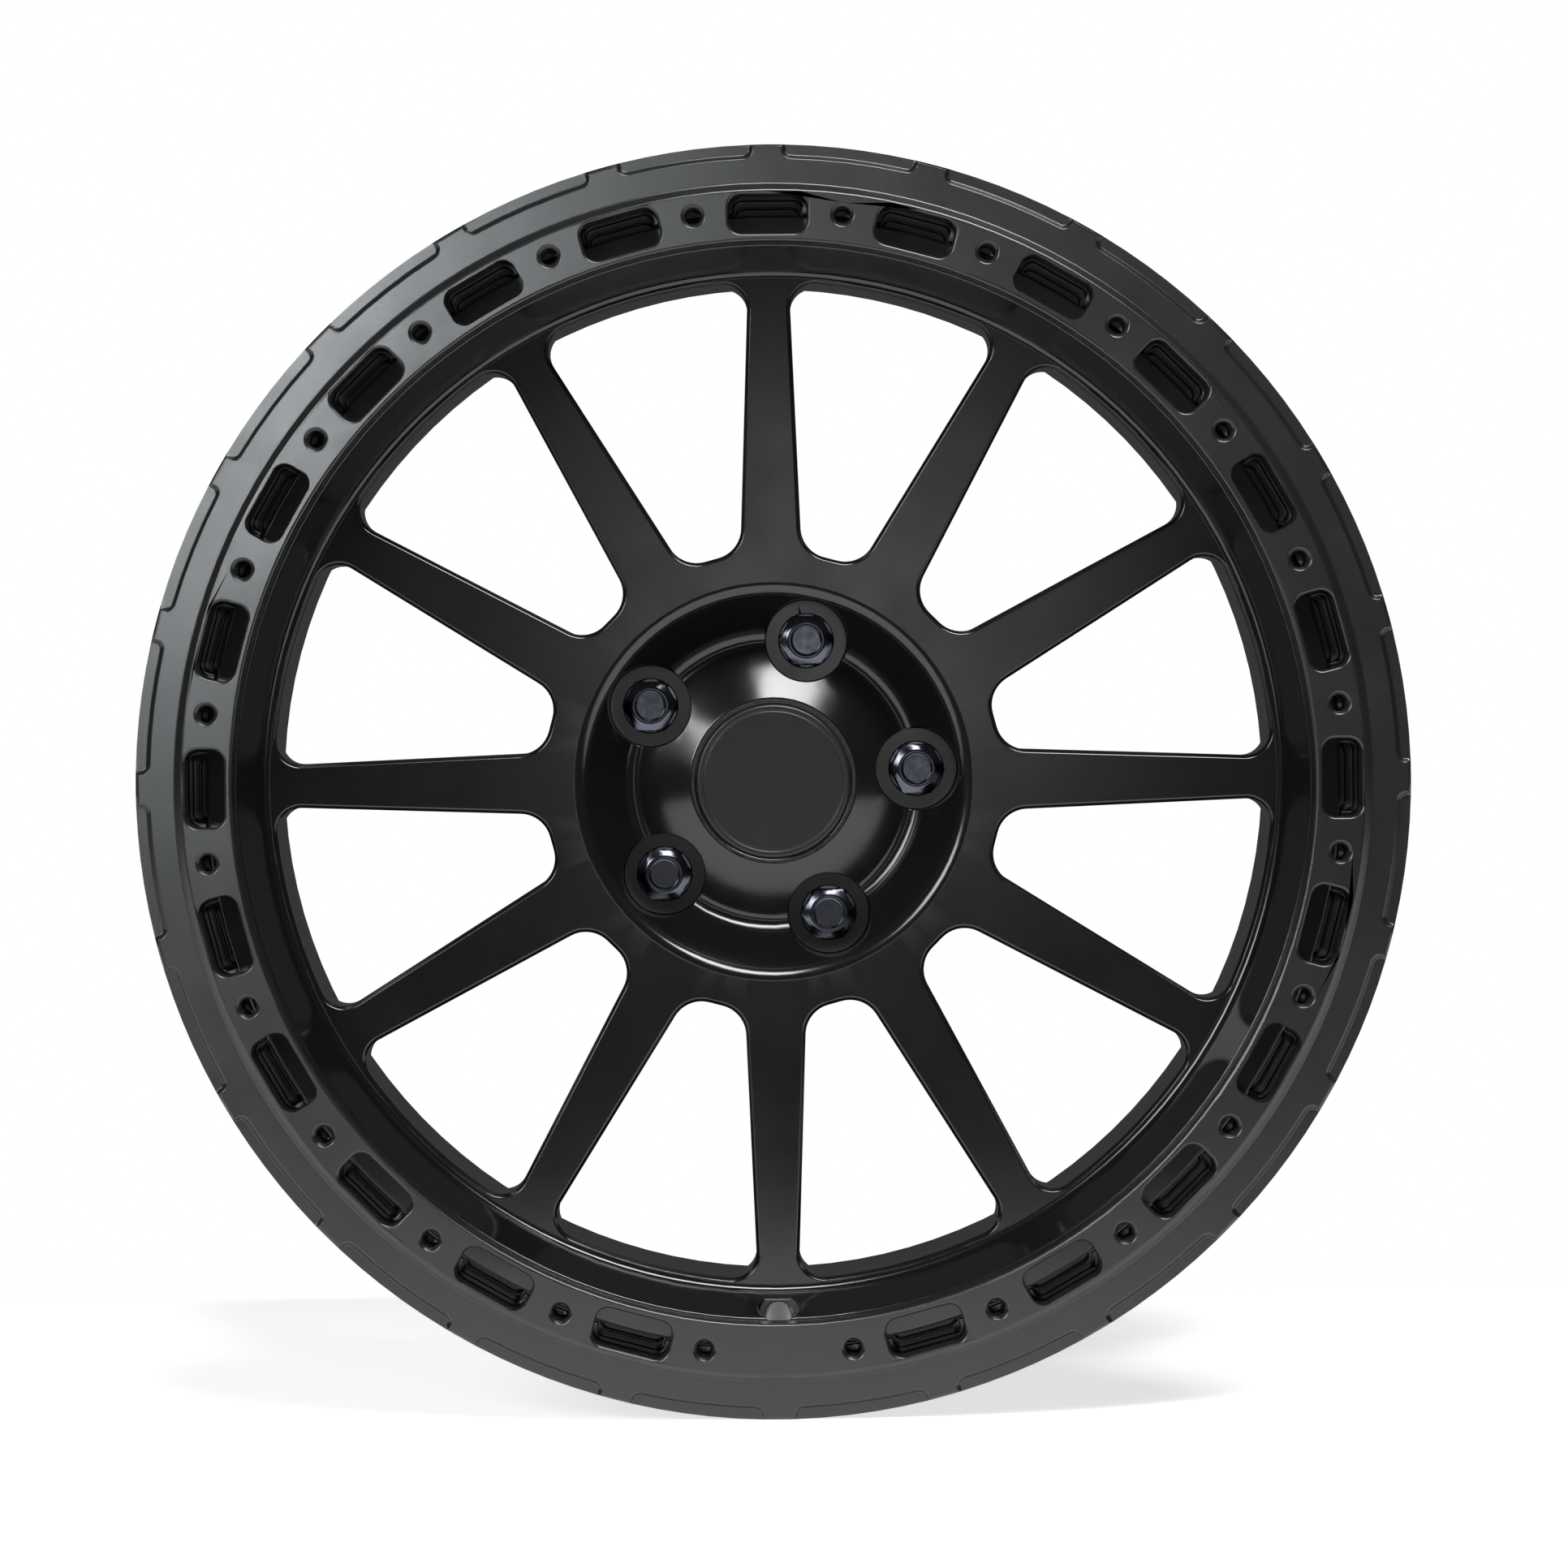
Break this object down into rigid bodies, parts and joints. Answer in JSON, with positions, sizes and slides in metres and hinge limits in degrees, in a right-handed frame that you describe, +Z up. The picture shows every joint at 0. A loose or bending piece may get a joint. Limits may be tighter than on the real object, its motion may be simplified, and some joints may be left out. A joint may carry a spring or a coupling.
{
  "type": "beadlock wheel",
  "caption": "Beadlock car wheel: a black spoked rim with a slotted clamp ring, centre cap and lug bolts.",
  "frame": {"origin": "on the wheel's axis, midway between the clamp ring's front face and the back of the rear flange", "axes": "+Y along the wheel's axis towards the car, so the street side faces -Y; +Z up; +X to the right as the street side is seen"},
  "size_m": [0.5474, 0.256, 0.5474],
  "materials": {
    "wheel_coat": "satin black powder coat on forged aluminium",
    "ring_coat": "satin black powder coat on aluminium plate",
    "cap_plastic": "satin black moulded plastic",
    "spring_steel": "bright drawn wire",
    "bolt_chrome": "dark chrome plate"
  },
  "bodies": {
    "root": {"wheel_body": "wheel_coat", "beadlock_ring": "ring_coat", "centre_cap": "cap_plastic", "cap_spring_ring": "spring_steel", "lug_bolts": "bolt_chrome", "lock_bolt": "bolt_chrome"}
  },
  "joints": []
}
